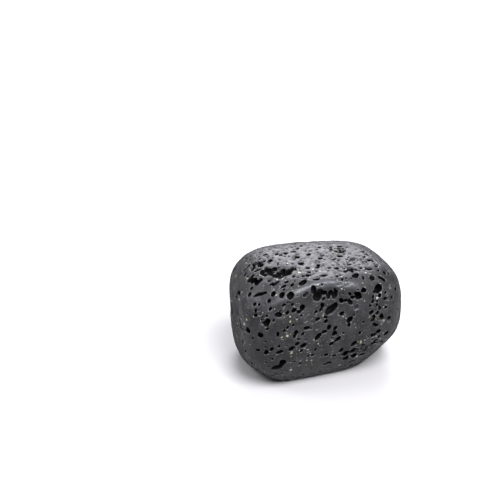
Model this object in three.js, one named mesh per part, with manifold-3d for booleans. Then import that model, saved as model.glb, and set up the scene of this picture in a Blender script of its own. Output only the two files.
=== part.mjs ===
// A tumbled lava rock: one piece of black vesicular basalt, worn to a rounded block and open with gas holes.
// Millimetres, +Z up, +X along the stone's length, -Y its broad worn face. The origin is on the ground,
// under the middle of the stone's box.
import * as THREE from "three";
import { mergeVertices } from "three/addons/utils/BufferGeometryUtils.js";
import Module from "manifold-3d";

const wasm = await Module();
wasm.setup();

// ---- driving dimensions -------------------------------------------------------------------------
const BLANK_HALF = new THREE.Vector3(19.2, 14.6, 13.6); // the rounded lump that the flats are worn on
const BLANK_BOXINESS = 3.4; // 2 is an ellipsoid, and more is squarer
const FOOT_DROP = 10.8; // from the stone's middle down to the flat that it rests on
const EDGE_SOFTNESS = 0.9; // how far tumbling has rounded one flat into the next
const BODY_DETAIL = 13; // icosahedron subdivisions, 20 * (detail + 1)^2 triangles
const FARTHEST_SKIN = 40; // no skin lies this far from the middle

// The flats that tumbling wore on it. turn: degrees round from +X; climb: degrees above level;
// reach: the flat's distance from the stone's middle.
const FLATS = [
  { name: "top", turn: -10, climb: 85.5, reach: 13.0 },
  { name: "front", turn: -88, climb: 2, reach: 12.6 },
  { name: "front upper", turn: -88, climb: 22, reach: 13.9 },
  { name: "front lower", turn: -86, climb: -34, reach: 13.2 },
  { name: "left brow", turn: -132, climb: 56, reach: 17.3 },
  { name: "right brow", turn: -60, climb: 36, reach: 17.2 },
  { name: "left end", turn: 173, climb: -5, reach: 17.8 },
  { name: "right end", turn: -6, climb: -2, reach: 17.7 },
  { name: "back", turn: 92, climb: -4, reach: 13.4 },
  { name: "back upper", turn: 74, climb: 45, reach: 16.9 },
  { name: "right upper", turn: 10, climb: 44, reach: 18.6 },
  { name: "left upper", turn: 158, climb: 46, reach: 20.0 },
  { name: "right front", turn: -44, climb: -2, reach: 18.5 },
  { name: "left front", turn: -135, climb: -10, reach: 19.4 },
  { name: "right foot", turn: -46, climb: -40, reach: 15.2 },
  { name: "left foot", turn: -158, climb: -50, reach: 17.2 },
  { name: "right back", turn: 44, climb: -2, reach: 17.8 },
  { name: "left back", turn: 138, climb: 4, reach: 19.0 },
  { name: "back lower", turn: 96, climb: -42, reach: 14.4 },
];

// The gas holes were drawn out along the way that the lava flowed.
const FLOW = new THREE.Vector3(0.77, 0.44, 0.47).normalize();
const SUNK = 0.34; // share of a hole's depth by which its widest part lies under the skin
const HOLE_DETAIL = 1; // icosahedron subdivisions of a hole

// The larger gas holes of the front face, the top and the left end:
// turn, climb, length, width, depth, and degrees that the length swings from the flow.
const HOLES = [
  // under the front face's upper edge
  [-90.5, 29.5, 3.3, 1.4, 2.3, 0],
  [-105, 40, 1.9, 1.8, 2.1, 0],
  [-110.5, 46, 1.7, 1.2, 1.4, 60],
  [-86, 40.5, 1.6, 1.4, 1.7, 60],
  [-71, 32, 1.5, 1.0, 1.4, -80],
  [-62, 35, 1.5, 1.4, 2.0, 30],
  [-43.5, 32.5, 2.1, 1.7, 2.3, 0],
  [-135, 23.5, 1.6, 1.0, 1.6, -50],
  // down the front face
  [-140.5, 17.3, 1.7, 1.2, 1.7, 15],
  [-144, 8.5, 1.4, 1.2, 1.7, 60],
  [-125.5, -2, 1.6, 0.8, 1.2, -10],
  [-117.5, -1, 1.4, 1.1, 1.6, -10],
  [-134.5, -16.5, 2.5, 1.3, 1.8, 5],
  [-105.5, 5.5, 1.9, 1.2, 1.7, 15],
  [-70, -8, 1.8, 1.0, 1.4, 10],
  [-76, -18, 1.5, 1.3, 1.7, 0],
  [-68.5, -15.5, 1.5, 1.1, 1.6, 0],
  [-94, -29.5, 1.9, 1.1, 1.6, 0],
  // on the top
  [-152.5, 55.5, 2.0, 1.7, 2.2, 0],
  [-159, 52, 1.4, 1.0, 1.3, 0],
  [-171.5, 48, 1.9, 1.2, 1.5, -25],
  [-172, 36, 1.6, 1.4, 1.6, 0],
  [-153, 32.5, 2.9, 0.8, 1.3, -45],
  [-131, 38, 1.8, 1.2, 1.2, 0],
  [-149, 43.5, 2.2, 0.7, 1.0, 0],
  [-124, 50.5, 2.2, 1.2, 1.4, 0],
  [-96, 60.5, 1.7, 0.8, 1.2, -20],
  [-53, 50.5, 1.9, 1.2, 1.4, 0],
  [-44.5, 57.5, 1.6, 1.2, 1.4, 0],
  [-41.5, 41, 1.4, 1.1, 1.4, -20],
  [-30, 47, 1.5, 1.0, 1.2, -45],
  [20, 61.5, 1.5, 0.9, 1.2, -20],
];

// The sides that face away get holes of the same kind, scattered by rule.
const BROAD_SIDE = { turn: -106, climb: 27 }; // the way that the listed holes face
const SCATTER = { count: 13, seed: 41, apart: 6.5, long: [1.4, 2.6], slim: [0.6, 0.95] };
const FOOT_CLEAR_CLIMB = -52; // no scattered hole opens in the foot

// ---- the rounded block --------------------------------------------------------------------------
function heading(turn, climb) {
  const theta = THREE.MathUtils.degToRad(turn);
  const phi = THREE.MathUtils.degToRad(climb);
  return new THREE.Vector3(Math.cos(phi) * Math.cos(theta), Math.cos(phi) * Math.sin(theta), Math.sin(phi));
}

const flats = FLATS.map((flat) => ({ normal: heading(flat.turn, flat.climb), reach: flat.reach }));

// About how far a point lies outside the blank, near its skin.
function outsideBlank(point) {
  const squared = point.toArray().reduce(
    (sum, value, axis) => sum + Math.abs(value / BLANK_HALF.getComponent(axis)) ** BLANK_BOXINESS,
    0,
  );
  const share = squared ** (1 / BLANK_BOXINESS);
  return (share - 1) * (point.length() / share);
}

// How far a point lies outside the worn block: a smooth maximum over the blank and its flats.
function outsideBlock(point) {
  const distances = [outsideBlank(point), ...flats.map((flat) => flat.normal.dot(point) - flat.reach)];
  const sum = distances.reduce((total, distance) => total + Math.exp(distance / EDGE_SOFTNESS), 0);
  return EDGE_SOFTNESS * Math.log(sum);
}

// Where the skin lies in a direction from the stone's middle, by halving.
function skinAlong(direction) {
  let inside = 0;
  let outside = FARTHEST_SKIN;
  while (outside - inside > 1e-6) {
    const middle = (inside + outside) / 2;
    if (outsideBlock(direction.clone().multiplyScalar(middle)) < 0) inside = middle;
    else outside = middle;
  }
  return direction.clone().multiplyScalar(inside);
}

// The skin's outward normal at a point on it.
function normalAt(point) {
  const step = 1e-3;
  const slope = [0, 1, 2].map((axis) => {
    const ahead = point.clone().setComponent(axis, point.getComponent(axis) + step);
    const behind = point.clone().setComponent(axis, point.getComponent(axis) - step);
    return outsideBlock(ahead) - outsideBlock(behind);
  });
  return new THREE.Vector3(...slope).normalize();
}

function blockGeometry() {
  const ball = new THREE.IcosahedronGeometry(1, BODY_DETAIL);
  const place = ball.attributes.position;
  for (let i = 0; i < place.count; i++) {
    const skin = skinAlong(new THREE.Vector3().fromBufferAttribute(place, i).normalize());
    place.setXYZ(i, skin.x, skin.y, skin.z);
  }
  return ball;
}

// ---- gas holes ----------------------------------------------------------------------------------
// An ellipsoid sunk in the skin, its length along the flow and its depth along the skin's normal.
function holeGeometry([turn, climb, long, wide, deep, swing]) {
  const skin = skinAlong(heading(turn, climb));
  const normal = normalAt(skin);
  const along = FLOW.clone().projectOnPlane(normal).normalize();
  along.applyAxisAngle(normal, THREE.MathUtils.degToRad(swing));
  const across = new THREE.Vector3().crossVectors(normal, along);
  const half = deep * (1 - SUNK);
  const mouth = Math.sqrt(1 - (SUNK / (1 - SUNK)) ** 2); // the mouth's share of the widest section
  const centre = skin.addScaledVector(normal, -deep * SUNK);
  const ball = new THREE.IcosahedronGeometry(1, HOLE_DETAIL);
  ball.scale(long / 2 / mouth, wide / 2 / mouth, half);
  ball.applyMatrix4(new THREE.Matrix4().makeBasis(along, across, normal).setPosition(centre));
  return ball;
}

// A repeatable source of numbers from 0 to 1.
function seededRandom(seed) {
  let state = seed;
  return () => {
    state = (Math.imul(state, 1664525) + 1013904223) >>> 0;
    return state / 2 ** 32;
  };
}

// Holes on the sides that the list leaves bare, each well apart from its neighbours.
function scatteredHoles() {
  const random = seededRandom(SCATTER.seed);
  const listedSide = heading(BROAD_SIDE.turn, BROAD_SIDE.climb);
  const taken = HOLES.map(([turn, climb]) => skinAlong(heading(turn, climb)));
  const holes = [];
  while (holes.length < SCATTER.count) {
    const turn = 360 * random() - 180;
    const climb = THREE.MathUtils.radToDeg(Math.asin(2 * random() - 1));
    const direction = heading(turn, climb);
    const skin = skinAlong(direction);
    const crowded = taken.some((other) => other.distanceTo(skin) < SCATTER.apart);
    if (crowded || climb < FOOT_CLEAR_CLIMB || direction.dot(listedSide) > 0.1) continue;
    const long = THREE.MathUtils.lerp(...SCATTER.long, random() ** 2);
    const wide = long * THREE.MathUtils.lerp(...SCATTER.slim, random());
    holes.push([turn, climb, long, wide, wide * 1.25, 30 * (random() - 0.5)]);
    taken.push(skin);
  }
  return holes;
}

// ---- solids -------------------------------------------------------------------------------------
function solidOf(geometry) {
  const bare = geometry.clone();
  bare.deleteAttribute("normal");
  bare.deleteAttribute("uv");
  const merged = mergeVertices(bare, 1e-4);
  return new wasm.Manifold(
    new wasm.Mesh({
      numProp: 3,
      vertProperties: merged.attributes.position.array,
      triVerts: new Uint32Array(merged.index.array),
    }),
  );
}

function geometryOf(solid) {
  const mesh = solid.getMesh();
  return new THREE.BufferGeometry()
    .setAttribute("position", new THREE.BufferAttribute(mesh.vertProperties, 3))
    .setIndex(new THREE.BufferAttribute(mesh.triVerts, 1));
}

function largestPiece(solid) {
  return solid.decompose().reduce((best, piece) => (piece.volume() > best.volume() ? piece : best));
}

function stoneSolid() {
  const side = 2 * FARTHEST_SKIN;
  const aboveFoot = new THREE.BoxGeometry(side, side, side);
  aboveFoot.translate(0, 0, side / 2 - FOOT_DROP);
  const holes = [...HOLES, ...scatteredHoles()].map((hole) => solidOf(holeGeometry(hole)));
  return largestPiece(solidOf(blockGeometry()).intersect(solidOf(aboveFoot)).subtract(wasm.Manifold.union(holes)));
}

// ---- the part -----------------------------------------------------------------------------------
const geometry = geometryOf(stoneSolid());
geometry.computeBoundingBox();
const middle = geometry.boundingBox.getCenter(new THREE.Vector3());

const basalt = new THREE.MeshStandardMaterial({ color: 0x3c3c40, roughness: 0.7, metalness: 0 });
const rock = new THREE.Mesh(geometry, basalt);
rock.name = "lava_rock";
rock.position.set(-middle.x, -middle.y, FOOT_DROP);

const part = new THREE.Group();
part.add(rock);
export default part;
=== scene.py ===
"""A tumbled lava rock: black vesicular basalt, satin where it is worn, dark and rough in its gas holes.

The stone's outer form and its largest gas holes come from the CAD solid. The finer holes, the shallow
dishes, the smooth ridge above the front face and the wear are added here in a distance field, which is
then meshed. Lengths are in millimetres until the mesh is made, and in metres from there on.
"""
import math

import bmesh
import bpy
import numpy as np
import openvdb
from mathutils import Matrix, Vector


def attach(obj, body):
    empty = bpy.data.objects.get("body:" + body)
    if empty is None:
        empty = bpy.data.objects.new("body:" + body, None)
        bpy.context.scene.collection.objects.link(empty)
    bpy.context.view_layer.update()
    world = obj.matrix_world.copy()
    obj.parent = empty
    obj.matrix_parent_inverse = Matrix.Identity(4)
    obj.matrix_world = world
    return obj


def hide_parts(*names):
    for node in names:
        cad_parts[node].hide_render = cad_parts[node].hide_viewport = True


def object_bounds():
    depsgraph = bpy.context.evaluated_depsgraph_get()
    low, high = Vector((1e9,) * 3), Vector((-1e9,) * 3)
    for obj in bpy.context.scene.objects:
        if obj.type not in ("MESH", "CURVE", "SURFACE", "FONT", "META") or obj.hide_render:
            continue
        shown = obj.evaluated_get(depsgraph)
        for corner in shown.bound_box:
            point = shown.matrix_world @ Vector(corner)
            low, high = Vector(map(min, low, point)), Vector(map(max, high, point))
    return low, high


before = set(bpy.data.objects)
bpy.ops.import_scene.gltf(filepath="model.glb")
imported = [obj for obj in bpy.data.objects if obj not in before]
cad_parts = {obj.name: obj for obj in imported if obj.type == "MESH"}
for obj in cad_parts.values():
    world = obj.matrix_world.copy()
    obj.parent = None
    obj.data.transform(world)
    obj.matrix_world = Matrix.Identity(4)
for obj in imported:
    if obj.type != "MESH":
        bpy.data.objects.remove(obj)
cad_low, cad_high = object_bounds()

MM = 0.001
NODE = "lava_rock"
PIECE = "lava_rock_worn"
TRIANGLES = 192000
BLUR_REACH = 2.6  # how far a blur reaches, in its own widths
RIDGE_PARTS = 40  # distances to the ridge are worked out in parts, to spare memory

# ---- the distance field --------------------------------------------------------------------------
VOXEL = 0.14
MARGIN = 1.2  # room left round the stone
DEPTH_KNOWN = 2.6  # how far below the skin distances are worked out
MIDDLE_ABOVE_FOOT = 10.8  # the point that turn and climb are measured from
MIDDLE_ASIDE = (0.2, -0.4)
PAST_SKIN = 23.0  # further than the stone reaches from its middle
HALVINGS = 24  # of that distance, to find the skin

# ---- the worn skin -------------------------------------------------------------------------------
SKIN_BLUR = 0.65  # smooths the solid's facets away
UNEVEN = [(0.13, 6.5, 0), (0.07, 2.6, 1), (0.022, 1.0, 2)]  # layers: height, wavelength, noise channel
UNEVEN_SINK = 0.1  # keeps the highest bumps inside the solid's box
UNEVEN_REACH = 0.8  # how far from the skin the unevenness is worked out
UNEVEN_ABOVE_FOOT = 2.5  # it grows from nothing at the foot to its full height here
BEND_BLUR = 0.3  # eases the skin before its bend is measured

# The smooth ridge between the front face and the top: turn, climb, and how far the skin drops below it.
RIDGE = np.array([
    (-152, 22, 0.0),
    (-146, 27, 0.25),
    (-135, 35.5, 0.6),
    (-125, 44, 0.9),
    (-112, 50.5, 1.2),
    (-98, 54, 1.25),
    (-82, 53, 1.1),
    (-68, 46.5, 0.8),
    (-56, 41, 0.4),
    (-47, 36, 0.0),
])
RIDGE_POINTS = 61  # its course, as close points
RIDGE_EASE = 8  # points each way that its course is smoothed over
RIDGE_LIFT = 0.36
RIDGE_WIDTH = 1.6
RIDGE_CREST = 0.1  # how far below its course it is highest
RIDGE_WAVER, WAVER_LENGTH = 0.12, 2.2  # its course wavers by this, over this length
RIDGE_END = 1.5  # how gently it ends
RIDGE_DEEP, RIDGE_HIGH = 1.8, 0.9  # how far below and above the skin it is worked out
RIDGE_CLEAR = 0.7  # no hole is scattered nearer to it
DROP_FROM, DROP_TO = 0.3, 2.7  # distances down from the ridge, where the skin drops
FADE_FROM, FADE_TO = 1.8, 10.0  # and where it comes back

# Shallow hollows worn into the skin: turn, climb, length, width, depth, swing from the flow.
HOLLOWS = [
    (-66, -22, 8.0, 3.6, 0.35, 0),
    (-158, 50, 8.5, 4.0, 0.4, -25),
    (60, 10, 9.0, 5.0, 0.45, 20),
    (150, 8, 8.0, 4.0, 0.4, -20),
]
HOLLOW_EDGE = 0.9  # how far the rim of a hollow is rounded

# ---- gas holes -----------------------------------------------------------------------------------
FLOW = np.array([0.77, 0.44, 0.47])  # the way that the holes are drawn out
FLOW /= np.linalg.norm(FLOW)
LIP = 0.1  # how far wear has rounded a hole's rim
CARVE_ROOM = 0.35  # room left round a hole for its wavy wall

# The waves of a hole's wall: their height as a share of its least half width, and the most it may be.
WAVE_SHARE, WAVE_MOST = 0.35, 0.22
WAVE_LENGTH, FINE_WAVE_LENGTH = 1.1, 0.45
FINE_WAVE_SHARE = 0.3  # of the height of the long waves

# The solid's own holes.
WALL_BLUR = 0.16
WALL_WAVE, WALL_WAVE_LENGTH = 0.13, 1.0
WALL_DEEP, WALL_ABOVE_SKIN = 0.6, 0.4  # how far round the walls the waves are worked out
SOLID_BLUR = 0.1
SOLID_STEP, SOLID_STEP_WIDTH = 0.5, 0.05  # keeps the walls away from the skin where there is no hole

# A hole that widens under its mouth, as shares of the mouth.
WIDER_INSIDE = 1.2
HOLE_DEPTH = 1.9
HOLE_SUNK = 0.5

# Holes with a place of their own: turn, climb, length, width, swing from the flow.
PLACED = """
-173.5 23.5 1.6 0.9 -35  -168.5 13.5 1.9 0.6 -10  -161.5 9 2.0 0.6 -10  -167.5 5 1.2 0.7 0
-153.5 58.5 1.8 1.3 0  -171 48.5 1.3 1.0 0  -44.7 27.5 0.9 0.7 0  -78.3 36.3 1.1 0.9 60
-90.5 45 1.3 0.8 0  -56 37.5 1.1 1.0 0  -120.5 32 1.3 0.9 50  -100.5 34.5 1.0 0.8 60
-98.5 44.5 1.0 0.9 0  -153 9 1.4 1.3 -30  -126 -2.5 0.9 0.8 0  -89.5 6 1.0 0.95 0  -72.5 17 1.3 1.1 20
-73 -27 1.6 1.2 60  -65.5 -25 1.7 1.3 60  -85.8 -0.5 1.5 0.7 0  -92 -4 1.2 0.8 0  -50 0 1.2 1.0 0
-140.5 -3.5 1.3 0.9 40  -133 -3.5 1.4 0.8 -10  -53 14 0.8 0.8 0  -47.5 12 1.3 1.0 60  -168 37 1.5 1.3 0
-163 38.5 2.0 1.2 0  -144.3 35.4 1.35 0.95 0  -137.5 37 1.35 0.95 0  -34.5 36 1.8 0.8 -75
3 66.5 1.2 1.0 0  -160 72 1.3 1.0 0  158 73 1.1 0.9 0  172 52.5 1.3 1.0 0  177 46 1.4 1.0 0
-58 66 1.1 0.9 0  -57.5 -24 1.0 0.7 0  -43.5 -4 1.2 0.9 0  -76.5 -19.5 1.8 1.3 60  -69.5 -17 1.7 1.2 60
-66 -34 0.8 0.6 0  -131.5 -13 1.7 1.2 50
"""

# Shallow dishes, open to the light: turn, climb, length, width, swing from the flow.
DISHES = """
-106 43.5 2.6 2.0 20  -118.5 41.5 1.6 1.2 0  -65 27 1.6 1.1 0  -79.5 49 1.9 0.9 -20
-71 46.5 1.6 0.9 -30  -61 -12.5 1.7 1.2 40  -53.5 -12 1.8 1.2 40  -57 -18.5 1.8 1.2 40  -47 9 1.5 1.1 60
-42.5 8 1.6 1.0 60  -22 36 1.8 1.3 0  -146 22 1.3 0.9 0  -157 43.5 1.8 1.1 0  -82.5 25 1.0 0.7 0
-10 57 1.6 1.1 0  95 20 2.2 1.4 0  150 -5 2.4 1.5 20  30 15 2.0 1.3 0  60 45 2.2 1.2 -20
-3 5 1.9 1.2 30
"""
DISH_DEPTH = 0.5  # twice the depth of a dish, as a share of its width

# Small holes with a place of their own: turn, climb.
SMALL = """
-141 26  -149.5 22.5  -148.5 20  -149 5  -140.5 13.5  -134.5 10  -131 12.5  -129.5 15  -126 17
-123.5 11  -124.5 8.5  -127 28  -123 28  -131 26  -134 30.5  -128.5 32  -115.5 14.5  -118.5 9.5
-122.5 1.5  -133.5 1  -137.5 -1  -146 -3  -119 -6  -137 -23.5  -120.5 -19  -153 -16  -157 -8  -159.5 -3
-170.5 3  -107.5 -7.5  -110 -13  -106.5 22  -105 22.8  -80 24.5  -102.5 30.5  -108 28.5  -97.5 23.5
-97.5 19.5  -74 12  -95 13  -89 11.5  -99.5 9.5  -64.5 2  -54.5 18  -54.5 11.5  -48 19  -43.5 17.5
-50.5 16  -42.5 8.5  -53.5 7.5  -51.5 6  -54 -2  -43.5 -3  -52.5 -11  -61.5 -11.5  -82 -13.5  -97 -16.5
-88 -19.5  -63 -33  -84 44.5  -74 35.5  -63.5 38  -51.5 26  -42 23.5  -36.5 21.5  -39.5 27  -47.5 45.5
-107 55  -76 57  -30 60  -40.5 53.5  -33 51  -21.5 42.5  -27.5 40.5  -26 36.5  -24 34  -8 71.5
-3.5 48.5  2 45.5  9 46.5  -11 46  -5 37.5  -30 24  -133.5 46  -140.5 47  -127.5 57  -118 60  -122 59
-139 54  -151 49  -110 55  -156 62  -151 63  133 67  170 48.5  173 44  -178 42  172 36  178 35  170 39
149 46  156 50  153 57  155 60  148 63  -175 20.5  -171 25  -163 32.5  -177 36  -174 38.5  -144 30.5
-152.5 25.5  -149.5 26.5  -160.5 29  0 86  35 80  115 80  -15 74  -98 77  -104 73  -130 70  -122 64
-72 70  -56 58  -48 54  -12 44  100 62  115 66  45 61  65 66  -152 41  -163 47  -140 43
"""
SMALL_WIDTH = (0.45, 0.75)
SMALL_STRETCH = (1.1, 1.8)
SMALL_SWING = 22

# Rough patches, where small holes crowd together: turn, climb, length, width, holes, their size, swing.
PATCHES = [
    (-155, 55, 5.2, 2.0, 13, 0.6, -20),
    (-169, 47.5, 3.6, 2.2, 11, 0.6, -20),
    (-60, -19, 5.0, 3.6, 6, 0.5, 0),
    (-50, -9, 4.0, 3.0, 4, 0.5, 0),
    (-78, 49, 5.0, 1.4, 6, 0.4, -10),
    (-51, 27, 3.6, 2.6, 5, 0.6, 40),
    (176, 44, 3.4, 2.4, 9, 0.6, 60),
    (-97, 42, 6.0, 2.0, 3, 0.6, -20),
    (-69, 36, 4.0, 2.4, 5, 0.6, -30),
    (75, 25, 4.6, 2.6, 13, 0.6, 0),
    (120, -12, 4.0, 2.2, 10, 0.6, 20),
    (10, 8, 5.4, 2.6, 8, 0.6, 0),
    (32, 60, 3.6, 2.0, 8, 0.6, 0),
]
PATCH_SIZES = (0.6, 1.4)  # shares of the patch's own size
PATCH_STRETCH = (1.0, 1.7)
PATCH_SWING = 35
PATCH_TRIES = 5  # places tried for each hole of a patch, to keep it off the others

# The rest are scattered: fine ones between the placed ones, and all sizes on the sides that face away.
# Sizes: the least, the most, and the share of the holes.
SCATTER_SIZES = [(0.34, 0.52, 0.50), (0.52, 0.90, 0.34), (0.90, 1.50, 0.12), (1.50, 2.20, 0.04)]
TOP_SIZES = (0.28, 0.5)
SEEN_LIMIT = 0.55  # the widest scattered on the sides that have placed holes
PER_AREA = {"top": 0.9, "seen": 0.38, "other": 0.34}  # places tried for each square millimetre
TOP_FROM = 0.62  # the upward share of a direction that counts as the top
SEEN_HEADING, SEEN_FROM = (-106, 27), 0.25  # turn and climb of the picture's view, and how far round it
FOOT_CLEAR = 0.9  # no hole opens below this height
SCATTER_STRETCH = (1.05, 2.0)
SCATTER_SUNK = (-0.05, 0.42)
SCATTER_DEPTH = 1.1
SCATTER_SWAY = 0.22  # how far a hole may lean from the flow
SCATTER_NEAREST = 0.45  # of two holes' sizes, how near their middles may be
SCATTER_GAP, OVERLAP_CHANCE = 0.08, 0.08  # the least gap, and how often it is let go

ROUGH = [(0.03, 0.5, 3), (0.02, 0.3, 2)]  # layers of roughness in the holes, as in UNEVEN
ROUGH_REACH, ROUGH_FROM = 0.3, 0.12  # how far from a wall, and how far below the skin

# ---- what the material is told about the stone ---------------------------------------------------
AROUND_REACH = 0.35  # how far round a point its holes are measured
AROUND_DEPTH = 0.6  # a hole deeper than this counts no more
ENCLOSED_REACH = 0.35  # how far above a point the stone round it is measured
DEPTH_MOST = 2.5
BEND_LEAST, BEND_MOST = -1, 2

# Pale crystals with a place of their own: turn, climb, width.
CRYSTALS = """
-132 8 0.55  -129 9 0.65  -129.7 11.2 0.4  -127.5 -3 0.4  -126.5 -6 0.4  -126.5 30.5 0.35
-132.3 22.3 0.35  -162 -8 0.4  -127 -14.5 0.35  -115 -17 0.5  -111 -18.8 0.55  -120 -15.5 0.35
-105.3 -1.5 0.45  -90 -12.8 0.35  -66.5 -6 0.4  -64 -7.5 0.5  -60.5 -12.5 0.4  -56.5 15 0.4
-68 8.5 0.35  -75 -19 0.4  -70 -25 0.4  -58 -15.5 0.4  8 56.5 0.6  0 60.5 0.5  -125 78 0.4  -71 48.5 0.4
-64 45 0.35  -123 48 0.4  -158 60.5 0.45  -152 62.5 0.4  -165 42.5 0.4  170 51 0.35  -145 50 0.35
-100 66 0.4  -160 56 0.35  45 55 0.4
"""

# Layers of mineral grains: spacing, share of cells without a grain, the widest, and how pale they may be.
GRAINS = [
    (1.25, 0.68, 0.30, 0.3, 0.8),
    (0.60, 0.52, 0.30, 0.1, 0.7),
    (0.34, 0.50, 0.34, 0.05, 0.35),
]

# ---- material ------------------------------------------------------------------------------------
# Depths below the worn skin.
RIM_FROM, RIM_MOST, RIM_TO = 0.005, 0.04, 0.13  # the pale rim of a hole: partly a worn lip, partly a painted highlight
RAW_FROM, RAW_TO = 0.05, 0.30  # stone that wear hasn't reached
# Depths where painted shade darkens a hole's wall.
DEEP_FROM, DEEP_TO = 0.2, 0.65
ENCLOSED_FROM, ENCLOSED_TO = 0.17, 0.31  # how enclosed a wall is where painted shade darkens it
PITTED_FROM, PITTED_TO = 0.02, 0.16  # how much hole lies round pitted stone
POLISHED_FROM, POLISHED_TO = 0.22, 0.8  # how sharply an edge bends, where it is polished by wear and lightened with a painted highlight

# Sizes of the patterns.
MOTTLE_SIZE = 2.4
GRAIN_SIZE = 0.28
BENT_SIZE, BENT_BY = 0.25, 0.5  # makes the mineral grains ragged
DRIFT_SIZE = 3.2  # of the areas with more mineral grains
PALE_RIM_SIZE = 0.8
SATIN_SIZE = 0.9
FINE_RELIEF_SIZE, BROAD_RELIEF_SIZE = 0.11, 0.9
RELIEF_HEIGHT = 0.08
PINHOLE_SPACING, PINHOLE_WIDEST = 0.62, 0.24
CRYSTAL_FROM, CRYSTAL_TO, CRYSTAL_STRENGTH = 0.2, 0.55, 1.35  # in widths of the crystal

# ---- camera, lights and floor, in metres; the lens in millimetres --------------------------------
VIEW_AZIMUTH, VIEW_ELEVATION = math.radians(-16), math.radians(27)
VIEW_DISTANCE = 300 * MM
VIEW_LENS, SENSOR_WIDTH = 101.5, 36
CLIP_NEAR, CLIP_FAR = 0.01, 20
AIM_LEFT, AIM_UP = 13.5 * MM, 11.9 * MM  # the picture's middle, seen from the stone's
FLOOR_HALF = 3.0

# Soft lights: name, place, size, power, colour.
LIGHTS = [
    ("overhead", (0.06, -0.10, 0.55), 1.30, 3.4, (0.95, 0.94, 1.0)),
    ("brow", (0.10, -0.29, 0.48), 0.40, 8.6, (0.95, 0.94, 1.0)),
    ("left", (-0.42, 0.16, 0.42), 0.30, 3.0, (0.94, 0.93, 1.0)),
    ("back", (0.20, 0.62, 0.36), 0.46, 5.5, (0.93, 0.92, 1.0)),
]
BRIGHT_SIDE = (0.94, 0.30, 0.15)  # the room is brighter on this side
AIR_FROM, AIR_TO = -0.75, 0.25
AIR_DIM, AIR_BRIGHT = 0.05, 0.55
AIR_COLOUR = (1.0, 0.99, 0.97, 1)
PAPER_COLOUR = (0.335, 0.333, 0.327, 1)

rng = np.random.default_rng(7)
LATTICE = rng.uniform(-1.0, 1.0, (4, 32, 32, 32)).astype(np.float32)


def table(text, columns):
    return np.array(text.split(), float).reshape(-1, columns)


def wobble(points, wavelength, channel):
    """Smooth noise from about -1 to 1 at points in millimetres."""
    place = points / wavelength + 7.3 * channel
    cell = np.floor(place).astype(np.int32)
    part = (place - cell).astype(np.float32)
    part = part * part * (3 - 2 * part)
    total = np.zeros(len(points), np.float32)
    for corner in np.ndindex(2, 2, 2):
        i, j, k = (cell + corner).T & 31
        share = np.prod(np.where(corner, part, 1 - part), axis=1)
        total += share * LATTICE[channel, i, j, k]
    return total


def layered(points, layers):
    return sum(height * wobble(points, wavelength, channel) for height, wavelength, channel in layers)


def sway(points, wavelength):
    """Smooth noise in three directions."""
    return np.stack([wobble(points, wavelength, channel) for channel in range(3)], axis=-1)


def bell(offsets):
    """Shares that fall off as a Gaussian and add up to one."""
    shares = np.exp(-0.5 * offsets**2)
    return shares / shares.sum()


def smooth_step(value, low, high):
    share = np.clip((value - low) / (high - low), 0, 1)
    return share * share * (3 - 2 * share)


def smooth_max(a, b, reach):
    """The larger of two fields, rounded where they meet."""
    blend = np.maximum(reach - np.abs(a - b), 0) / reach
    return np.maximum(a, b) + blend * blend * reach / 4


def blurred(values, sigma):
    """A Gaussian blur; sigma is in millimetres."""
    radius = math.ceil(BLUR_REACH * sigma / VOXEL)
    shares = bell(np.arange(-radius, radius + 1) * VOXEL / sigma).astype(np.float32)
    for axis in range(3):
        edges = [(radius, radius) if a == axis else (0, 0) for a in range(3)]
        padded = np.moveaxis(np.pad(values, edges, mode="edge"), axis, 0)
        count = values.shape[axis]
        values = sum(share * padded[i : i + count] for i, share in enumerate(shares))
        values = np.moveaxis(values, 0, axis)
    return np.ascontiguousarray(values)


class Field:
    """The grid that the stone is made on."""

    def __init__(self, low, high):
        self.low = low - MARGIN
        self.shape = tuple(np.ceil((high - low + 2 * MARGIN) / VOXEL).astype(int) + 1)

    def distance_to(self, vertices, triangles):
        """The signed distance to a closed mesh, known to DEPTH_KNOWN on each side."""
        grid = openvdb.FloatGrid.createLevelSetFromPolygons(
            (vertices - self.low).astype(np.float32),
            triangles=triangles.astype(np.uint32),
            transform=openvdb.createLinearTransform(voxelSize=VOXEL),
            halfWidth=DEPTH_KNOWN / VOXEL,
        )
        values = np.zeros(self.shape, np.float32)
        grid.copyToArray(values)
        return values

    def sample(self, values, points):
        """Values between grid points."""
        place = (points - self.low) / VOXEL
        cell = np.clip(np.floor(place).astype(np.int32), 0, np.array(self.shape) - 2)
        part = (place - cell).astype(np.float32)
        total = np.zeros(len(points), np.float32)
        for corner in np.ndindex(2, 2, 2):
            i, j, k = (cell + corner).T
            total += np.prod(np.where(corner, part, 1 - part), axis=1) * values[i, j, k]
        return total

    def points(self, index):
        return self.low + np.stack(index, axis=-1) * VOXEL

    def slope(self, values, points):
        """The outward unit normal of a field at some points."""
        steps = VOXEL * np.eye(3)
        change = [self.sample(values, points + step) - self.sample(values, points - step) for step in steps]
        normal = np.stack(change, axis=-1)
        return normal / np.linalg.norm(normal, axis=-1, keepdims=True)


def mesh_arrays(mesh):
    """Vertices in millimetres, and triangles."""
    mesh.calc_loop_triangles()
    vertices = np.empty(len(mesh.vertices) * 3, np.float32)
    mesh.vertices.foreach_get("co", vertices)
    triangles = np.empty(len(mesh.loop_triangles) * 3, np.int32)
    mesh.loop_triangles.foreach_get("vertices", triangles)
    return vertices.reshape(-1, 3) / MM, triangles.reshape(-1, 3)


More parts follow.
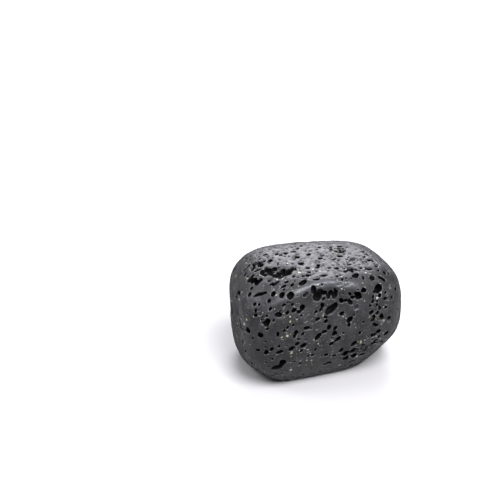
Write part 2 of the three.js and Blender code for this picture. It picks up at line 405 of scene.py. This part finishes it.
def hull_arrays(mesh):
    """The solid without its holes."""
    shell = bmesh.new()
    shell.from_mesh(mesh)
    hull = bmesh.ops.convex_hull(shell, input=shell.verts, use_existing_faces=False)
    bmesh.ops.delete(shell, geom=list(set(hull["geom_interior"] + hull["geom_unused"])), context="VERTS")
    kept = set(hull["geom"])
    bmesh.ops.delete(shell, geom=[face for face in shell.faces if face not in kept], context="FACES_ONLY")
    bmesh.ops.triangulate(shell, faces=shell.faces)
    bmesh.ops.recalc_face_normals(shell, faces=shell.faces)
    wrapped = bpy.data.meshes.new("hull")
    shell.to_mesh(wrapped)
    shell.free()
    arrays = mesh_arrays(wrapped)
    bpy.data.meshes.remove(wrapped)
    return arrays


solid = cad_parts[NODE].data
solid_vertices, solid_triangles = mesh_arrays(solid)
field = Field(solid_vertices.min(0), solid_vertices.max(0))
middle = np.array([*MIDDLE_ASIDE, MIDDLE_ABOVE_FOOT])


def heading(turn, climb):
    """Unit directions from the stone's middle."""
    turn, climb = np.radians(turn), np.radians(climb)
    return np.stack([np.cos(climb) * np.cos(turn), np.cos(climb) * np.sin(turn), np.sin(climb)], axis=-1)


def on_skin(directions, surface):
    """Where rays from the stone's middle leave a surface."""
    inside = np.zeros(len(directions))
    outside = np.full(len(directions), PAST_SKIN)
    for _ in range(HALVINGS):
        halfway = (inside + outside) / 2
        within = field.sample(surface, middle + directions * halfway[:, None]) < 0
        inside, outside = np.where(within, halfway, inside), np.where(within, outside, halfway)
    return middle + directions * inside[:, None]


def turned(a, b, degrees):
    """Two directions at right angles, both turned in their plane from a towards b."""
    angle = math.radians(degrees)
    return math.cos(angle) * a + math.sin(angle) * b, math.cos(angle) * b - math.sin(angle) * a


def tangent_axes(normal, swing):
    """Along the flow, across it, and out of the skin."""
    along = FLOW - normal * (FLOW @ normal)
    along /= np.linalg.norm(along)
    across = np.cross(normal, along)
    along, across = turned(along, across, swing)
    return np.array([along, across, normal])


def carve(stone, centre, axes, half, reach, wavy):
    """Takes one ellipsoid out of the stone. The rows of axes are its three directions."""
    room = np.abs(axes.T * half).max(axis=1) + 2 * reach + CARVE_ROOM
    first = np.maximum(np.floor((centre - room - field.low) / VOXEL).astype(int), 0)
    last = np.minimum(np.ceil((centre + room - field.low) / VOXEL).astype(int) + 1, field.shape)
    window = tuple(slice(a, b) for a, b in zip(first, last))
    index = np.meshgrid(*[np.arange(a, b) for a, b in zip(first, last)], indexing="ij")
    points = field.points(index).reshape(-1, 3)
    if wavy:
        wave = min(WAVE_SHARE * half.min(), WAVE_MOST)
        points = points + wave * sway(points, WAVE_LENGTH)
        points = points + FINE_WAVE_SHARE * wave * sway(points, FINE_WAVE_LENGTH)
    local = (points - centre) @ axes.T
    share = np.maximum(np.sqrt(((local / half) ** 2).sum(axis=1)), 1e-4)
    inside = (1 - share) * np.linalg.norm(local, axis=1) / share
    stone[window] = smooth_max(stone[window], inside.reshape(stone[window].shape).astype(np.float32), reach)


# ---- the worn skin -------------------------------------------------------------------------------
def make_uneven(skin):
    near = np.nonzero(np.abs(skin) < UNEVEN_REACH)
    spots = field.points(near)
    skin[near] += np.clip(spots[:, 2] / UNEVEN_ABOVE_FOOT, 0, 1) * (layered(spots, UNEVEN) + UNEVEN_SINK)


def ridge_course(skin):
    """The ridge as points on the skin, each with its ways along and down the ridge, and its drop."""
    steps = np.linspace(0, len(RIDGE) - 1, RIDGE_POINTS)
    turns, climbs, drops = (np.interp(steps, np.arange(len(RIDGE)), column) for column in RIDGE.T)
    shares = bell(np.arange(-RIDGE_EASE, RIDGE_EASE + 1) / (RIDGE_EASE / 2))
    padded = [np.pad(angles, RIDGE_EASE, mode="edge") for angles in (turns, climbs)]
    turns, climbs = (np.convolve(angles, shares, mode="valid") for angles in padded)
    line = on_skin(heading(turns, climbs), skin)
    forward = np.gradient(line, axis=0)
    forward /= np.linalg.norm(forward, axis=1, keepdims=True)
    return line, forward, np.cross(forward, field.slope(skin, line)), drops


def raise_ridge(skin, line, forward, down, drops):
    """Lifts the skin along the ridge and lowers it below the ridge."""
    near = np.nonzero((skin > -RIDGE_DEEP) & (skin < RIDGE_HIGH))
    spots = field.points(near)
    halfway = line[len(line) // 2]
    close = np.linalg.norm(spots - halfway, axis=1) < np.linalg.norm(line[0] - halfway) + FADE_TO
    near = tuple(index[close] for index in near)
    spots = spots[close]
    parts = np.array_split(spots, RIDGE_PARTS)
    nearest = np.concatenate([np.linalg.norm(part[:, None] - line, axis=2).argmin(axis=1) for part in parts])
    gap = spots - line[nearest]
    past_end = np.abs((gap * forward[nearest]).sum(axis=1))
    below = (gap * down[nearest]).sum(axis=1) + RIDGE_WAVER * wobble(spots, WAVER_LENGTH, 3)
    deepest = drops.max()
    share = np.exp(-((past_end / RIDGE_END) ** 2)) * (drops / deepest)[nearest]
    drop = deepest * smooth_step(below, DROP_FROM, DROP_TO) * (1 - smooth_step(below, FADE_FROM, FADE_TO))
    lift = RIDGE_LIFT * np.exp(-(((below - RIDGE_CREST) / RIDGE_WIDTH) ** 2))
    skin[near] += share * (drop - lift)


def wear_hollow(stone, skin, turn, climb, length, width, depth, swing):
    """Carves a shallow cap of a big ellipsoid."""
    spot = on_skin(heading([turn], [climb]), skin)
    axes = tangent_axes(field.slope(skin, spot)[0], swing)
    rise = ((width / 2) ** 2 - depth**2) / (2 * depth)
    half = np.array([(rise + depth) * length / width, rise + depth, rise + depth])
    carve(stone, spot[0] + axes[2] * rise, axes, half, HOLLOW_EDGE, False)


def bend_of(surface):
    """How sharply a surface turns, in turns of a radius per millimetre."""
    eased = blurred(surface, BEND_BLUR)
    bend = -6 * eased[1:-1, 1:-1, 1:-1]
    for axis in range(3):
        for shift in (0, 2):
            window = [slice(1, -1)] * 3
            window[axis] = slice(shift, shift + field.shape[axis] - 2)
            bend = bend + eased[tuple(window)]
    return np.pad(bend / VOXEL**2, 1)


without_holes = field.distance_to(*hull_arrays(solid))
skin = blurred(without_holes, SKIN_BLUR)
make_uneven(skin)
ridge = ridge_course(skin)
ridge_line = ridge[0]
raise_ridge(skin, *ridge)
worn = skin.copy()
for hollow in HOLLOWS:
    wear_hollow(worn, skin, *hollow)


# ---- gas holes -----------------------------------------------------------------------------------
def solid_hole_walls():
    """The solid's own holes as a field, with wavy walls."""
    with_holes = field.distance_to(solid_vertices, solid_triangles)
    walls = blurred(with_holes, WALL_BLUR)
    in_hole = blurred(with_holes - without_holes, SOLID_BLUR)  # nothing away from the holes
    walls -= SOLID_STEP * np.exp(-np.maximum(in_hole, 0) / SOLID_STEP_WIDTH)
    near = np.nonzero((walls > -WALL_DEEP) & (skin < WALL_ABOVE_SKIN))
    spots = field.points(near)
    walls[near] = field.sample(walls, spots + WALL_WAVE * sway(spots, WALL_WAVE_LENGTH))
    return walls


stone = smooth_max(worn, solid_hole_walls(), LIP)
taken_at = []
taken_size = []


def place_hole(spot, normal, length, width, deep, sunk, axes):
    half = np.array([length, width, deep]) / 2
    carve(stone, spot - normal * sunk, axes, half, LIP, True)
    taken_at.append(spot)
    taken_size.append(math.sqrt(length * width))


def place_dish(spot, length, width, swing):
    normal = field.slope(worn, spot[None])[0]
    place_hole(spot, normal, length, width, width * DISH_DEPTH, 0, tangent_axes(normal, swing))


def sunk_hole(spot, length, width, swing):
    """A hole that widens under its mouth."""
    normal = field.slope(worn, spot[None])[0]
    axes = tangent_axes(normal, swing)
    deep, sunk = width * HOLE_DEPTH, width * HOLE_SUNK
    place_hole(spot, normal, length * WIDER_INSIDE, width * WIDER_INSIDE, deep, sunk, axes)


def small_hole(spot):
    width = rng.uniform(*SMALL_WIDTH)
    sunk_hole(spot, width * rng.uniform(*SMALL_STRETCH), width, rng.normal(0, SMALL_SWING))


def rough_patch(turn, climb, length, width, count, typical, swing):
    patch_middle = on_skin(heading([turn], [climb]), worn)
    along, across, _ = tangent_axes(field.slope(worn, patch_middle)[0], swing)
    for _ in range(count):
        angle = rng.uniform(0, 2 * math.pi, PATCH_TRIES)
        out = np.sqrt(rng.uniform(0, 1, PATCH_TRIES)) / 2
        aim = patch_middle + np.outer(length * out * np.cos(angle), along)
        aim = aim + np.outer(width * out * np.sin(angle), across) - middle
        spots = on_skin(aim / np.linalg.norm(aim, axis=1, keepdims=True), worn)
        room = np.linalg.norm(spots[:, None] - np.array(taken_at), axis=2) - np.array(taken_size) / 2
        size = typical * rng.uniform(*PATCH_SIZES)
        stretch = rng.uniform(*PATCH_STRETCH)
        sunk_hole(spots[room.min(axis=1).argmax()], size * stretch, size, rng.normal(0, PATCH_SWING))


def scattered_hole(spot, side):
    """Carves a hole where there is room, drawn out roughly along the flow."""
    chances = [row[2] for row in SCATTER_SIZES]
    low_size, high_size, _ = SCATTER_SIZES[rng.choice(len(chances), p=chances)]
    if side == "top":
        low_size, high_size = TOP_SIZES
    width = rng.uniform(low_size, high_size)
    stretch = rng.uniform(*SCATTER_STRETCH)
    sizes = np.array(taken_size) + width * stretch
    gap = np.linalg.norm(np.array(taken_at) - spot, axis=1) - SCATTER_NEAREST * sizes
    if gap.min() < SCATTER_GAP and rng.random() > OVERLAP_CHANCE:
        return
    on_ridge = np.linalg.norm(ridge_line - spot, axis=1).min() < RIDGE_CLEAR
    if side != "other" and (width > SEEN_LIMIT or on_ridge):
        return
    normal = field.slope(worn, spot[None])[0]
    along = FLOW + rng.normal(0, SCATTER_SWAY, 3)
    along /= np.linalg.norm(along)
    across = np.cross(along, normal)
    across /= np.linalg.norm(across)
    axes = np.array([along, across, np.cross(along, across)])
    sunk = width * rng.uniform(*SCATTER_SUNK)
    place_hole(spot, normal, width * stretch, width, width * SCATTER_DEPTH, sunk, axes)


def scatter_holes():
    on_surface = np.argwhere(np.abs(worn) < VOXEL / 2)
    on_surface = on_surface[on_surface[:, 2] * VOXEL + field.low[2] > FOOT_CLEAR]
    outward = field.low + on_surface * VOXEL - middle
    outward /= np.linalg.norm(outward, axis=1, keepdims=True)
    on_top = outward[:, 2] > TOP_FROM
    seen = (outward @ heading(*SEEN_HEADING) > SEEN_FROM) & ~on_top
    for side, choice in (("top", on_top), ("seen", seen), ("other", ~seen & ~on_top)):
        cells = on_surface[choice]
        for _ in range(int(PER_AREA[side] * len(cells) * VOXEL**2)):
            cell = cells[rng.integers(len(cells))] + rng.uniform(-0.5, 0.5, 3)
            scattered_hole(field.low + cell * VOXEL, side)


def spots_of(places):
    """Where the places of a table lie on the worn skin. Its first two columns are turn and climb."""
    return on_skin(heading(places[:, 0], places[:, 1]), worn)


dishes, placed, small = table(DISHES, 5), table(PLACED, 5), table(SMALL, 2)
for row, spot in zip(dishes, spots_of(dishes)):
    place_dish(spot, *row[2:])
for row, spot in zip(placed, spots_of(placed)):
    sunk_hole(spot, *row[2:])
for spot in spots_of(small):
    small_hole(spot)
for patch in PATCHES:
    rough_patch(*patch)
scatter_holes()

rough = np.nonzero((np.abs(stone) < ROUGH_REACH) & (worn < -ROUGH_FROM))
stone[rough] += layered(field.points(rough), ROUGH)
height = (field.low[2] + np.arange(field.shape[2]) * VOXEL).astype(np.float32)
stone = np.maximum(stone, -height)  # flat at the foot


# ---- meshing -------------------------------------------------------------------------------------
def surface_of(values):
    band = 3 * VOXEL
    grid = openvdb.FloatGrid(background=band)
    grid.transform = openvdb.createLinearTransform(voxelSize=VOXEL)
    grid.copyFromArray(np.clip(values, -band, band), tolerance=1e-6)
    points, triangles, quads = grid.convertToPolygons(isovalue=0.0, adaptivity=0.0)
    halves = [quads[:, [0, 1, 2]], quads[:, [0, 2, 3]]]
    return points + field.low, np.concatenate([triangles.reshape(-1, 3), *halves])


def largest_shell(vertices, triangles):
    """Leaves out crumbs that the holes cut loose."""
    label = np.arange(len(vertices))
    while True:
        lowest = label[triangles].min(axis=1)
        before = label.copy()
        for corner in range(3):
            np.minimum.at(label, triangles[:, corner], lowest)
        label = label[label]
        if (label == before).all():
            break
    kept = label[triangles[:, 0]] == np.bincount(label).argmax()
    used = np.unique(triangles[kept])
    renumber = np.zeros(len(vertices), np.int64)
    renumber[used] = np.arange(len(used))
    return vertices[used], renumber[triangles[kept]]


def thinned_piece(vertices, triangles):
    """The piece, brought down to its budget of triangles, most of them kept where it curves."""
    fine = bpy.data.meshes.new(NODE)
    fine.from_pydata((vertices * MM).tolist(), [], triangles.tolist())
    fine.update()
    piece = bpy.data.objects.new(PIECE, fine)
    bpy.context.scene.collection.objects.link(piece)
    thin = piece.modifiers.new("thin", "DECIMATE")
    thin.ratio = min(1.0, TRIANGLES / len(fine.polygons))
    thinned = bpy.data.meshes.new_from_object(piece.evaluated_get(bpy.context.evaluated_depsgraph_get()))
    piece.modifiers.clear()
    piece.data = thinned
    bpy.data.meshes.remove(fine)
    thinned.name = PIECE
    thinned.polygons.foreach_set("use_smooth", [True] * len(thinned.polygons))
    return piece


def tell_material(mesh):
    """Keeps on each vertex what the material asks about the stone there."""
    ends = mesh_arrays(mesh)[0].astype(float)
    holes_near = blurred(np.clip(stone - worn, 0, AROUND_DEPTH), AROUND_REACH)
    # how closed in each point is; the material paints shade where a hole is deep or closed in
    stone_near = blurred((stone < 0).astype(np.float32), ENCLOSED_REACH)
    above = ends + ENCLOSED_REACH * field.slope(stone, ends)
    values = {
        "depth": np.clip(field.sample(-worn, ends), 0, DEPTH_MOST),
        "bend": np.clip(field.sample(bend_of(worn), ends), BEND_LEAST, BEND_MOST),
        "around": np.clip(field.sample(holes_near, ends), 0, 1),
        "enclosed": np.clip(field.sample(stone_near, above), 0, 1),
    }
    for name, numbers in values.items():
        mesh.attributes.new(name, "FLOAT", "POINT").data.foreach_set("value", numbers)


rock = thinned_piece(*largest_shell(*surface_of(stone)))
tell_material(rock.data)


# ---- material ------------------------------------------------------------------------------------
class Nodes:
    """Makes and links the nodes of one material."""

    def __init__(self, material):
        material.use_nodes = True
        self.tree = material.node_tree
        self.shader = self.tree.nodes["Principled BSDF"]

    def add(self, kind, **settings):
        inputs = settings.pop("inputs", {})
        node = self.tree.nodes.new(kind)
        for name, value in settings.items():
            setattr(node, name, value)
        for name, value in inputs.items():
            self.feed(node.inputs[name], value)
        return node

    def feed(self, socket, value):
        if isinstance(value, bpy.types.NodeSocket):
            self.tree.links.new(value, socket)
        else:
            socket.default_value = value

    def maths(self, operation, a, b, clamp=False):
        node = self.add("ShaderNodeMath", operation=operation, use_clamp=clamp)
        self.feed(node.inputs[0], a)
        self.feed(node.inputs[1], b)
        return node.outputs[0]

    def times(self, a, b):
        return self.maths("MULTIPLY", a, b)

    def vector(self, operation, inputs, output="Vector"):
        return self.add("ShaderNodeVectorMath", operation=operation, inputs=inputs).outputs[output]

    def ramp(self, value, low, high, out_low=0.0, out_high=1.0):
        inputs = {"Value": value, "From Min": low, "From Max": high, "To Min": out_low, "To Max": out_high}
        node = self.add("ShaderNodeMapRange", interpolation_type="SMOOTHSTEP", inputs=inputs)
        return node.outputs["Result"]

    def mix(self, share, a, b):
        node = self.add("ShaderNodeMix", data_type="RGBA")
        self.feed(node.inputs[0], share)
        self.feed(node.inputs[6], a)
        self.feed(node.inputs[7], b)
        return node.outputs[2]

    def noise(self, place, size, detail=3.0, roughness=0.55):
        inputs = {"Vector": place, "Scale": 1 / size, "Detail": detail, "Roughness": roughness}
        return self.add("ShaderNodeTexNoise", inputs=inputs).outputs["Fac"]

    def cells(self, place, size):
        """A cell's own three random numbers, and the distance to its middle."""
        voronoi = self.add("ShaderNodeTexVoronoi", inputs={"Vector": place, "Scale": 1 / size})
        parts = self.add("ShaderNodeSeparateColor", inputs={"Color": voronoi.outputs["Color"]})
        return parts.outputs, voronoi.outputs["Distance"]

    def kept(self, name):
        """What tell_material keeps on the mesh under a name."""
        return self.add("ShaderNodeAttribute", attribute_name=name).outputs["Fac"]


def grey(value, blue=0.0):
    return (value, value * (1 + blue * 0.25), value * (1 + blue), 1.0)


SKIN_DARK, SKIN_PALE = grey(0.006, 0.05), grey(0.024, 0.05)
POLISH_AND_PAINTED_HIGHLIGHT = grey(0.065, 0.16)  # edges that wear has polished, lightened further as a painted highlight
RIM_PAINTED_HIGHLIGHT = grey(0.10, 0.08)
# painted shade in holes too fine to be modelled
PINHOLE_SHADE = grey(0.006)
RAW_DARK, RAW_PALE = grey(0.004), grey(0.035, 0.05)  # unworn stone that light reaches
HOLE_SHADE_DARK, HOLE_SHADE_PALE = grey(0.002), grey(0.009, 0.05)  # painted shade deep in a hole
GRAIN_GREY, GRAIN_YELLOW = (0.40, 0.40, 0.39, 1), (0.34, 0.29, 0.17, 1)
CRYSTAL = (0.31, 0.285, 0.215, 1)


def skin_colour(nodes, place, grain, edge):
    mottle = nodes.noise(place, MOTTLE_SIZE, 4.0)
    tone = nodes.ramp(nodes.maths("ADD", nodes.times(mottle, 0.45), nodes.times(grain, 0.55)), 0.36, 0.64)
    # sharp bends turn paler and bluer: partly wear's polish, partly a painted highlight
    return nodes.mix(nodes.times(edge, 0.5), nodes.mix(tone, SKIN_DARK, SKIN_PALE), POLISH_AND_PAINTED_HIGHLIGHT)


def with_grains(nodes, place, colour, crystals):
    """Pale mineral grains, some of them yellowish, most of them round the holes, and the placed crystals."""
    wander = nodes.add("ShaderNodeTexNoise", inputs={"Vector": place, "Scale": 1 / BENT_SIZE, "Detail": 2.0})
    bent = nodes.vector("SUBTRACT", {0: wander.outputs["Color"], 1: (0.5, 0.5, 0.5)})
    bent = nodes.vector("SCALE", {"Vector": bent, "Scale": BENT_BY})
    bent = nodes.vector("ADD", {0: place, 1: bent})
    drift = nodes.ramp(nodes.noise(place, DRIFT_SIZE, 2.0), 0.35, 0.7, -0.16, 0.08)
    pitted = nodes.ramp(nodes.kept("around"), PITTED_FROM, PITTED_TO)
    drift = nodes.maths("ADD", drift, nodes.times(pitted, 0.15))
    for spacing, rare, widest, weakest, strongest in GRAINS:
        chances, away = nodes.cells(bent, spacing)
        size = nodes.ramp(nodes.maths("ADD", chances["Red"], drift), rare, 1.0, 0.0, widest)
        speck = nodes.ramp(nodes.maths("SUBTRACT", size, away), 0.0, 0.10)
        pale = nodes.mix(chances["Green"], GRAIN_GREY, GRAIN_YELLOW)
        share = nodes.ramp(chances["Blue"], 0.0, 1.0, weakest, strongest)
        colour = nodes.mix(nodes.times(speck, share), colour, pale)
    crystal = 0.0
    for spot, width in crystals:
        away = nodes.vector("DISTANCE", {0: bent, 1: tuple(spot)}, "Value")
        speck = nodes.ramp(away, CRYSTAL_FROM * width, CRYSTAL_TO * width, CRYSTAL_STRENGTH * width, 0.0)
        crystal = nodes.maths("MAXIMUM", crystal, speck)
    return nodes.mix(crystal, colour, CRYSTAL)


def pinholes(nodes, place):
    """Holes too fine to be modelled."""
    chances, away = nodes.cells(place, PINHOLE_SPACING)
    size = nodes.ramp(chances["Red"], 0.45, 1.0, 0.0, PINHOLE_WIDEST)
    return nodes.ramp(nodes.maths("SUBTRACT", size, away), 0.0, 0.09)


def gloss(nodes, place, edge, raw, pinhole):
    """Satin on the skin, rough in the holes and where it is seen edge-on."""
    satin = nodes.ramp(nodes.noise(place, SATIN_SIZE, 4.0, 0.65), 0.3, 0.7, 0.34, 0.54)
    satin = nodes.maths("SUBTRACT", satin, nodes.times(edge, 0.12))
    edge_on = nodes.add("ShaderNodeLayerWeight", inputs={"Blend": 0.5}).outputs["Facing"]
    satin = nodes.maths("ADD", satin, nodes.ramp(edge_on, 0.55, 0.95, 0.0, 0.5))
    return nodes.maths("ADD", satin, nodes.times(nodes.maths("MAXIMUM", raw, pinhole), 0.35), clamp=True)


def relief(nodes, place, grain, wall_and_painted_shade, pinhole):
    fine = nodes.noise(place, FINE_RELIEF_SIZE, 2.0)
    broad = nodes.noise(place, BROAD_RELIEF_SIZE, 2.0)
    height = nodes.maths("ADD", nodes.times(grain, 0.35), nodes.times(fine, 0.2))
    height = nodes.maths("ADD", height, nodes.times(broad, 0.3))
    height = nodes.maths("SUBTRACT", height, nodes.times(pinhole, 1.2))
    height = nodes.times(height, nodes.maths("ADD", nodes.times(wall_and_painted_shade, 0.6), 1.0))
    inputs = {"Height": height, "Strength": 0.8, "Distance": RELIEF_HEIGHT * MM}
    return nodes.add("ShaderNodeBump", inputs=inputs).outputs["Normal"]


def basalt(crystals):
    """Worn black basalt. Each of the crystals is a place in millimetres and a width."""
    material = bpy.data.materials.new("basalt")
    nodes = Nodes(material)
    place = nodes.add("ShaderNodeTexCoord").outputs["Object"]
    place = nodes.vector("SCALE", {"Vector": place, "Scale": 1 / MM})
    below = nodes.kept("depth")
    raw = nodes.ramp(below, RAW_FROM, RAW_TO)
    enclosed = nodes.ramp(nodes.kept("enclosed"), ENCLOSED_FROM, ENCLOSED_TO)
    # hole walls that are deep or closed in: painted shade in their colour and sheen, and a rougher relief
    wall_and_painted_shade = nodes.times(raw, nodes.maths("MAXIMUM", enclosed, nodes.ramp(below, DEEP_FROM, DEEP_TO)))
    rim_painted_highlight = nodes.times(nodes.ramp(below, RIM_FROM, RIM_MOST), nodes.ramp(below, RIM_MOST, RIM_TO, 1.0, 0.0))
    # sharp bends: polished by wear, so less rough, and given a painted highlight in their colour
    edge = nodes.ramp(nodes.kept("bend"), POLISHED_FROM, POLISHED_TO)
    grain = nodes.noise(place, GRAIN_SIZE, 3.0, 0.7)
    pinhole = pinholes(nodes, place)

    colour = with_grains(nodes, place, skin_colour(nodes, place, grain, edge), crystals)
    # fine holes darkened with painted shade
    colour = nodes.mix(nodes.times(pinhole, 0.8), colour, PINHOLE_SHADE)
    # pale rims round the holes: partly worn lips, partly a painted highlight
    patchy = nodes.ramp(nodes.noise(place, PALE_RIM_SIZE, 2.0), 0.40, 0.62, 0.1, 0.7)
    colour = nodes.mix(nodes.times(rim_painted_highlight, patchy), colour, RIM_PAINTED_HIGHLIGHT)
    colour = nodes.mix(nodes.times(raw, 0.75), colour, nodes.mix(grain, RAW_DARK, RAW_PALE))
    # painted shade on the walls of the holes
    colour = nodes.mix(wall_and_painted_shade, colour, nodes.mix(grain, HOLE_SHADE_DARK, HOLE_SHADE_PALE))
    nodes.feed(nodes.shader.inputs["Base Color"], colour)
    nodes.shader.inputs["Specular IOR Level"].default_value = 0.22
    nodes.feed(nodes.shader.inputs["Metallic"], nodes.times(wall_and_painted_shade, 0.92))  # metal-like in the holes, so little sheen there; with their dark colour this is painted shade
    nodes.feed(nodes.shader.inputs["Roughness"], gloss(nodes, place, edge, raw, pinhole))
    nodes.feed(nodes.shader.inputs["Normal"], relief(nodes, place, grain, wall_and_painted_shade, pinhole))
    return material


pale = table(CRYSTALS, 3)
rock.data.materials.append(basalt(list(zip(spots_of(pale).tolist(), pale[:, 2].tolist()))))
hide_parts(NODE)
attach(rock, "root")


# ---- stage, light and camera ---------------------------------------------------------------------
stone_middle = (cad_low + cad_high) / 2


def facing(thing, direction):
    thing.rotation_mode = "QUATERNION"
    thing.rotation_quaternion = direction.to_track_quat("-Z", "Y")


def make_camera():
    sine_a, cosine_a = math.sin(VIEW_AZIMUTH), math.cos(VIEW_AZIMUTH)
    sine_e, cosine_e = math.sin(VIEW_ELEVATION), math.cos(VIEW_ELEVATION)
    back = Vector((sine_a * cosine_e, -cosine_a * cosine_e, sine_e))
    right = Vector((cosine_a, sine_a, 0))
    up = Vector((-sine_a * sine_e, cosine_a * sine_e, cosine_e))
    lens = bpy.data.cameras.new("camera")
    lens.lens = VIEW_LENS
    lens.sensor_width = SENSOR_WIDTH
    lens.clip_start, lens.clip_end = CLIP_NEAR, CLIP_FAR
    camera = bpy.data.objects.new("camera", lens)
    camera.location = stone_middle - right * AIM_LEFT + up * AIM_UP + back * VIEW_DISTANCE
    facing(camera, -back)
    bpy.context.scene.collection.objects.link(camera)
    bpy.context.scene.camera = camera


def soft_light(name, place, size, power, colour):
    data = bpy.data.lights.new(name, "AREA")
    data.shape, data.size, data.energy, data.color = "DISK", size, power, colour
    light = bpy.data.objects.new(name, data)
    light.location = place
    facing(light, stone_middle - light.location)
    bpy.context.scene.collection.objects.link(light)


def studio_air():
    """Even light from all round, brighter on one side."""
    world = bpy.data.worlds.new("studio")
    world.use_nodes = True
    air = world.node_tree
    side = air.nodes.new("ShaderNodeVectorMath")
    side.operation = "DOT_PRODUCT"
    side.inputs[1].default_value = BRIGHT_SIDE
    fade = air.nodes.new("ShaderNodeMapRange")
    fade.interpolation_type = "SMOOTHSTEP"
    limits = {"From Min": AIR_FROM, "From Max": AIR_TO, "To Min": AIR_DIM, "To Max": AIR_BRIGHT}
    for name, number in limits.items():
        fade.inputs[name].default_value = number
    air.links.new(air.nodes.new("ShaderNodeTexCoord").outputs["Generated"], side.inputs[0])
    air.links.new(side.outputs["Value"], fade.inputs["Value"])
    air.links.new(fade.outputs["Result"], air.nodes["Background"].inputs["Strength"])
    air.nodes["Background"].inputs["Color"].default_value = AIR_COLOUR
    return world


def paper_floor():
    paper = bpy.data.materials.new("paper")
    paper.use_nodes = True
    paper.node_tree.nodes["Principled BSDF"].inputs["Base Color"].default_value = PAPER_COLOUR
    paper.node_tree.nodes["Principled BSDF"].inputs["Roughness"].default_value = 0.6
    sheet = bpy.data.meshes.new("floor")
    corners = [(x * FLOOR_HALF, y * FLOOR_HALF, 0) for x, y in ((-1, -1), (1, -1), (1, 1), (-1, 1))]
    sheet.from_pydata(corners, [], [(0, 1, 2, 3)])
    sheet.materials.append(paper)
    floor = bpy.data.objects.new("floor", sheet)
    bpy.context.scene.collection.objects.link(floor)
    return floor


make_camera()
for light in LIGHTS:
    soft_light(*light)
bpy.context.scene.world = studio_air()
bpy.context.scene.view_settings.view_transform = "Standard"
paper_floor()
